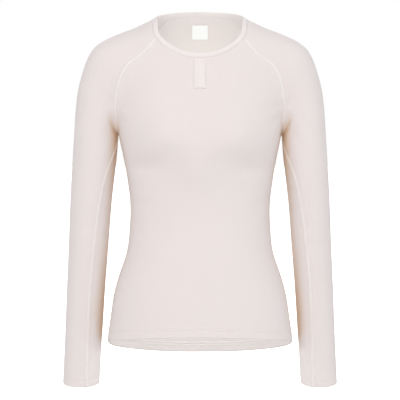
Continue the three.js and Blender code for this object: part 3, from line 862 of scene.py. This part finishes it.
class BaseLayerLooks(bpy.types.PropertyGroup):
    jersey: tint("Jersey", "Colour of the thermal knit", (0.842, 0.766, 0.742))
    trim: tint("Trim", "Colour of the neckband and the centre tab", (0.872, 0.802, 0.78))
    seam: tint("Seams", "Colour of the flat seams", (0.92, 0.86, 0.84))
    thread: tint("Thread", "Colour of the sewing thread", (0.92, 0.86, 0.84))
    # The warm colour painted in as shade deep in folds and narrow gaps
    fold: tint("Deep folds", "Colour of the light caught deep in a fold", (0.74, 0.50, 0.29))
    label: tint("Label", "Colour of the label cloth", (0.97, 0.97, 0.96))
    wale: length(
        "Wale width", "Width of one upright row of knitted loops", 0.0011, 0.0004, 0.004)


class BaseLayerStudio(bpy.types.PropertyGroup):
    floor: length("Floor level", "Level of the floor below the origin", -0.86, -5, -0.7)
    paper: tint("Floor paper", "Colour of the pale floor", (0.6, 0.6, 0.6))
    key: power("Key light", "Power of the large light in front", 38)
    left: power("Left light", "Power of the light on the left of the picture", 3)
    right: power("Right light", "Power of the light on the right of the picture", 7)
    behind: power("Back light", "Power of the large light behind", 32)
    within: power("Light within", "Power of each lamp inside the top", 0.24)
    glow: FloatProperty(
        name="Floor glow", description="Strength of the light that the floor gives",
        default=0.12, min=0)
    sky: FloatProperty(
        name="Surround", description="Strength of the even light from all round", default=0.76,
        min=0)


def needles_of(value):
    return tuple(v / MM for v in value)


class BASELAYER_OT_body(bpy.types.Operator):
    """Builds the front and the back with their rounded hems"""

    bl_idname = "base_layer.body"
    bl_label = "Front and back"

    def execute(self, context):
        needles = needles_of(context.scene.base_layer_sizes.hem_needles)
        for name, half, flat, area in (
            ("front_panel", FRONT, (0.43, 0.56), 0.178), ("back_panel", BACK, (0.47, 0.65), 0.208),
        ):
            points, normals, low = body_panel(*half, needles)
            panel, order = grid_mesh(name, points, outside=normals)
            thicken(panel, HEM_CLOTH, weights=hem_weights(order, low, BODY_HEM))
            dress(panel, "Jersey", "jersey", name.split("_")[0])
        return {"FINISHED"}


class BASELAYER_OT_sleeves(bpy.types.Operator):
    """Builds the two raglan sleeves with their cuffs"""

    bl_idname = "base_layer.sleeves"
    bl_label = "Sleeves"

    def execute(self, context):
        needles = needles_of(context.scene.base_layer_sizes.cuff_needles)
        points, normals, low = sleeve_panel(needles)
        for name, grid, ways in (
            ("left_sleeve", points, normals),
            ("right_sleeve", mirrored(points), mirrored(normals)),
        ):
            panel, order = grid_mesh(name, grid, outside=ways)
            thicken(panel, HEM_CLOTH, weights=hem_weights(order, low, CUFF_HEM))
            side = name.split("_")[0]
            dress(panel, "Jersey", "jersey", f"sleeve_{side}")
        return {"FINISHED"}


class BASELAYER_OT_neckband(bpy.types.Operator):
    """Builds the folded binding round the neck"""

    bl_idname = "base_layer.neckband"
    bl_label = "Neckband"

    def execute(self, context):
        angles = np.linspace(0, 360, 361)
        seam, edge = neck_seam(angles), neck_edge(angles)
        up = unit(edge - seam)
        normal = unit(outward(seam) + outward(edge))
        low = seam + up * SEAM_GAP * 0.4
        width = np.linalg.norm(edge - seam, axis=1) - SEAM_GAP
        # The binding is one strip folded over the neck's edge: up outside, round, down inside.
        corners = np.column_stack([np.linspace(0, 1, len(BAND_SECTION)), BAND_SECTION])
        way = np.linspace(0, 1, 29)
        share, rise = curve(corners, 1)(way), curve(corners, 2)(way)
        out = BAND_PROUD - BAND_THICKNESS / 2 + rise * BAND_THICKNESS / 2
        puckers = 0.07 * np.sin(angles * 1.9) + 0.05 * np.sin(angles * 4.3 + 1)
        out = out[None] + puckers[:, None] * np.clip(rise, 0, 1)[None]
        # A needle row presses the band's outer face just above the seam.
        out -= 0.3 * np.exp(-(((share - 0.2) / 0.07) ** 2))[None] * (rise > 0)[None]
        points = low[:, None] + up[:, None] * (share[None] * width[:, None])[..., None]
        points = points + normal[:, None] * out[..., None]
        points[-1] = points[0]
        ways = np.repeat(normal[:, None], len(way), 1) * np.sign(rise)[None, :, None]
        band, _ = grid_mesh("neck_binding", points, join=True, outside=ways)
        thicken(band, BINDING_CLOTH, rim=0.2)
        dress(band, "Trim", "trim", "neckband")
        row = low + up * (0.2 * width)[:, None] + normal * (BAND_PROUD - 0.12)
        stitched = thread_mesh(
            "neckband_stitching", [straight_stitches(row, 2.6, 0.2)],
            context.scene.base_layer_sizes.thread / MM * 0.8)
        dress(stitched, "Thread", "trim")
        return {"FINISHED"}


def tab_stitches(x, z):
    """A row of stitches on the tab's face, by its places across and up."""
    line, ways = worn(come_out(np.stack([x, 0 * x, z], -1), (0, -1, 0)))
    return straight_stitches(line + ways * (LYING_GAP + TAB_CLOTH - 0.05), 2.2, 0.16)


class BASELAYER_OT_tab(bpy.types.Operator):
    """Builds the stitched tab below the neckband at centre front"""

    bl_idname = "base_layer.tab"
    bl_label = "Centre tab"

    def execute(self, context):
        across = np.linspace(-1, 1, 41)
        down = np.concatenate([[0, 0.004, 0.012], np.linspace(0.03, 1, 58)])
        top = neck_seam(np.array(0.0))[2] - SEAM_GAP
        length = TAB_LENGTH - TAB_DROP * (1 - across**2)
        x = np.broadcast_to(across * TAB_WIDTH / 2, (len(down), len(across)))
        z = top - 0.1 * across**2 - length * (1 - down[:, None])
        start = np.stack([x, 0 * x, z], -1)
        points, normals = worn(come_out(start, (0, -1, 0)))
        # Two stitched strips stand up along the edges, with a lower middle left of centre.
        rise = np.full(x.shape, LYING_GAP + TAB_CLOTH)
        rise -= 0.4 * np.exp(-(((x + 2.1) / 2.2) ** 4))
        for place in TAB_NEEDLES:
            rise -= 0.28 * np.exp(-(((x - place) / 0.5) ** 2))
        foot = (z - top) + length
        rise -= 0.28 * np.exp(-(((foot - 3.2) / 0.5) ** 2))
        rise += 0.05 * np.sin(z * 1.7 + x)
        tab, _ = grid_mesh("centre_tab_cloth", points + normals * rise[..., None], outside=normals)
        thicken(tab, TAB_CLOTH, rim=0.45)
        dress(tab, "Trim", "trim", "centre_tab")
        level = np.linspace(top - 1.5, top - TAB_LENGTH + 3.4, 60)
        lines = [tab_stitches(place + 0 * level, level) for place in TAB_NEEDLES]
        side = np.linspace(TAB_NEEDLES[0], TAB_NEEDLES[-1], 24)
        foot = top - TAB_LENGTH + TAB_DROP * (1 - (side / 10) ** 2) + 3.2
        lines.append(tab_stitches(side, foot))
        thread = context.scene.base_layer_sizes.thread / MM
        stitched = thread_mesh("tab_stitching", lines, thread * 0.8)
        dress(stitched, "Thread", "trim")
        return {"FINISHED"}


class BASELAYER_OT_label(bpy.types.Operator):
    """Builds the plain label inside the back of the neck"""

    bl_idname = "base_layer.label"
    bl_label = "Neck label"

    def execute(self, context):
        across = np.linspace(-1, 1, 25)
        down = np.linspace(0, 1, 25)
        top = neck_seam(np.array(180.0))[2] - LABEL_BELOW_BAND
        x = np.broadcast_to(across * LABEL_WIDTH / 2, (len(down), len(across)))
        z = np.broadcast_to((top - LABEL_LENGTH * (1 - down))[:, None], x.shape)
        points, normals = worn(come_out(np.stack([x, 0 * x, z], -1), (0, 1, 0)))
        lift = 0.25 * (1 - np.abs(across)) + 0.15 * (1 - down[:, None]) ** 2
        points = points - normals * (CLOTH + LABEL_GAP + LABEL_CLOTH * 0.6 + lift)[..., None]
        label, _ = grid_mesh("neck_label", points, outside=-normals)
        thicken(label, LABEL_CLOTH * 0.6, rim=0.2)
        dress(label, "Label cloth", "label", "back_neck_label")
        return {"FINISHED"}


def side_line():
    """The left side seam, from the hem to the underarm."""
    z = np.linspace(SIDE_HEM + 1.4, UNDERARM[2], 200)
    line = body_point(np.full(len(z) - 1, 90.0), z[:-1])
    return np.vstack([line, UNDERARM])


def sleeve_line():
    """The left sleeve's underarm seam, from the cuff to the underarm."""
    total = UNDERARM[2] - CUFF
    h = np.linspace(1.4, total, 240)[:-1]
    angle = seam_turn(CUFF + h)
    s = cuff_level(angle) * (1 - h / total)
    middle, out = sleeve_frame(s)
    turn = np.radians(angle)[:, None]
    line = come_out(middle, out * np.cos(turn) + np.array([0, 1, 0]) * np.sin(turn))
    return np.vstack([line, UNDERARM])


class BASELAYER_OT_seams(bpy.types.Operator):
    """Builds the flat seams over the raglan, the sides and the sleeves with their threads"""

    bl_idname = "base_layer.seams"
    bl_label = "Flat seams"

    def execute(self, context):
        sizes = context.scene.base_layer_sizes
        half = sizes.seam_width / MM / 2
        height = sizes.seam_height / MM
        thread = sizes.thread / MM
        for name, line in (
            ("front_raglan", FRONT_RAGLAN), ("back_raglan", BACK_RAGLAN),
            ("side", side_line()), ("sleeve", sleeve_line()),
        ):
            for hand, sign in (("left", 1), ("right", -1)):
                path = worn_line(evenly(line * (sign, 1, 1), 2))
                for title, base, facing, cloth in (
                    ("seam", 0.05, 1, "Seam"), ("inner_seam", CLOTH + 0.05, -1, "Jersey"),
                ):
                    points, normals = ribbon_points(path, half, base, height, facing=facing)
                    ways = np.repeat(normals[:, None], points.shape[1], 1)
                    seam, _ = grid_mesh(f"{name}_{title}_{hand}", points, outside=ways)
                    thicken(seam, height + 0.25, rim=0)
                    dress(seam, cloth, "jersey")
                lines = [
                    straight_stitches(path, 2.2, 0.14, half * 0.72 * side) for side in (-1, 1)
                ]
                lines = [a + outward(a) * height * 0.6 for a in lines]
                cover = cover_stitches(path, 1.9, half * 0.72, height - 0.02)
                threads = thread_mesh(f"{name}_threads_{hand}", [*lines, cover], thread * 0.7, 0)
                dress(threads, "Thread", "jersey")
        return {"FINISHED"}


def row_at(points, low, height):
    """A line round a panel at a height above its hem."""
    j = int(np.searchsorted(low, height))
    share = (height - low[j - 1]) / (low[j] - low[j - 1])
    return points[j - 1] * (1 - share) + points[j] * share


class BASELAYER_OT_hem_stitching(bpy.types.Operator):
    """Sews the twin needle rows round the hem and the cuffs"""

    bl_idname = "base_layer.hem_stitching"
    bl_label = "Hem stitching"

    def execute(self, context):
        sizes = context.scene.base_layer_sizes
        thread = sizes.thread / MM
        hem = needles_of(sizes.hem_needles)
        cuff = needles_of(sizes.cuff_needles)
        front, back = (body_panel(*half, hem, 60, 40, 8) for half in (FRONT, BACK))
        points, normals, low = sleeve_panel(cuff, 48, 40, 8)
        for name, panels, needles in (
            ("hem_stitching", [front, back], hem),
            ("left_cuff_stitching", [(points, normals, low)], cuff),
            ("right_cuff_stitching", [(mirrored(points), mirrored(normals), low)], cuff),
        ):
            lines = []
            for outer, _, levels in panels:
                for needle in needles:
                    line = row_at(outer, levels, needle)
                    lines.append(straight_stitches(line, sizes.stitch / MM, 0.28))
            stitched = thread_mesh(name, lines, thread, 1)
            dress(stitched, "Thread", "jersey")
        return {"FINISHED"}


class BASELAYER_OT_studio(bpy.types.Operator):
    """Sets the pale floor, the soft lights and the camera"""

    bl_idname = "base_layer.studio"
    bl_label = "Studio"

    def execute(self, context):
        scene = context.scene
        studio = scene.base_layer_studio
        bm = bmesh.new()
        bmesh.ops.create_circle(bm, cap_ends=True, segments=96, radius=12)
        bmesh.ops.translate(bm, verts=bm.verts[:], vec=(0, 0, studio.floor))
        mesh = bpy.data.meshes.new("floor")
        bm.to_mesh(mesh)
        bm.free()
        floor = add_object("floor", mesh)
        paint = bpy.data.materials.new("Pale paper")
        paint.use_nodes = True
        # The paper glows white to the eye and gives the top only a little light.
        tree = paint.node_tree
        rays = add_node(tree, "LightPath")
        glow = math_node(tree, "MULTIPLY_ADD", rays.outputs["Is Camera Ray"], 1.0, studio.glow)
        feed(tree, tree.nodes["Principled BSDF"], {
            "Base Color": (*studio.paper, 1), "Roughness": 0.9, "Specular IOR Level": 0.1,
            "Emission Color": (1, 1, 1, 1), "Emission Strength": glow,
        })
        mesh.materials.append(paint)

        # All round it is white to the eye, and lights the top evenly from every side.
        world = bpy.data.worlds.new("Even light")
        world.use_nodes = True
        tree = world.node_tree
        light = feed(tree, tree.nodes["Background"], {
            "Color": (0.95, 0.97, 1, 1), "Strength": studio.sky,
        })
        seen = add_node(tree, "Background", {"Color": (1, 1, 1, 1)})
        rays = add_node(tree, "LightPath")
        either = add_node(tree, "MixShader", {
            0: rays.outputs["Is Camera Ray"], 1: light.outputs[0], 2: seen.outputs[0],
        })
        feed(tree, tree.nodes["World Output"], {"Surface": either.outputs[0]})
        scene.world = world
        aim = Vector((0, 0, -0.3276))
        for name, place, width, power, colour in (
            ("key_light", (-0.25, -3.2, 0.9), 2.0, studio.key, (1, 0.97, 0.92)),
            ("left_light", (-2.7, -1.5, 0.2), 1.8, studio.left, (1, 1, 1)),
            ("right_light", (2.7, -1.5, 0.2), 1.8, studio.right, (0.85, 0.93, 1)),
            ("back_light", (0.3, 3.2, 0.9), 2.0, studio.behind, (1, 0.98, 0.95)),
        ):
            lamp = bpy.data.lights.new(name, "AREA")
            lamp.size = width
            lamp.energy = power
            lamp.color = colour
            holder = add_object(name, lamp)
            holder.location = place
            holder.rotation_euler = (aim - Vector(place)).to_track_quat("-Z", "Y").to_euler()
        # Light that a thin white knit lets in from all round is helped along from within.
        for name, place, share in (
            ("chest_glow", (0, 0, -0.19), 0.92), ("waist_glow", (0, 0.01, -0.37), 0.6),
            ("hem_glow", (0, 0.01, -0.50), 1),
        ):
            lamp = bpy.data.lights.new(name, "POINT")
            lamp.shadow_soft_size = 0.03
            lamp.energy = studio.within * share
            lamp.color = (0.81, 0.975, 1)
            holder = add_object(name, lamp)
            holder.location = place
            holder.visible_camera = False

        view = bpy.data.cameras.new("camera")
        view.sensor_width = 36
        view.lens = 150
        view.clip_end = 50
        camera = add_object("camera", view)
        camera.location = (0, -2.9927, -0.1183)
        camera.rotation_euler = (aim - camera.location).to_track_quat("-Z", "Y").to_euler()
        scene.camera = camera
        scene.view_settings.view_transform = "Standard"
        return {"FINISHED"}


OPERATORS = (
    BASELAYER_OT_body, BASELAYER_OT_sleeves, BASELAYER_OT_neckband, BASELAYER_OT_tab,
    BASELAYER_OT_label, BASELAYER_OT_seams, BASELAYER_OT_hem_stitching, BASELAYER_OT_studio,
)


class BASELAYER_PT_panel(bpy.types.Panel):
    """Sizes, colours and build steps of the base layer top"""

    bl_idname = "BASELAYER_PT_panel"
    bl_label = "Base Layer Top"
    bl_space_type = "VIEW_3D"
    bl_region_type = "UI"
    bl_category = "Base Layer"

    def draw(self, context):
        for settings in ("base_layer_sizes", "base_layer_looks", "base_layer_studio"):
            box = self.layout.box()
            group = getattr(context.scene, settings)
            for name in group.__annotations__:
                box.prop(group, name)
        for operator in OPERATORS:
            self.layout.operator(operator.bl_idname)


SETTINGS = {
    "base_layer_sizes": BaseLayerSizes, "base_layer_looks": BaseLayerLooks,
    "base_layer_studio": BaseLayerStudio,
}
CLASSES = (*SETTINGS.values(), *OPERATORS, BASELAYER_PT_panel)


def register():
    for each in CLASSES:
        bpy.utils.register_class(each)
    for name, group in SETTINGS.items():
        setattr(bpy.types.Scene, name, PointerProperty(type=group))


def unregister():
    for name in SETTINGS:
        delattr(bpy.types.Scene, name)
    for each in reversed(CLASSES):
        bpy.utils.unregister_class(each)


def main():
    register()
    bpy.ops.base_layer.body()
    bpy.ops.base_layer.sleeves()
    bpy.ops.base_layer.neckband()
    bpy.ops.base_layer.tab()
    bpy.ops.base_layer.label()
    bpy.ops.base_layer.seams()
    bpy.ops.base_layer.hem_stitching()
    bpy.ops.base_layer.studio()


if __name__ == "__main__":
    main()
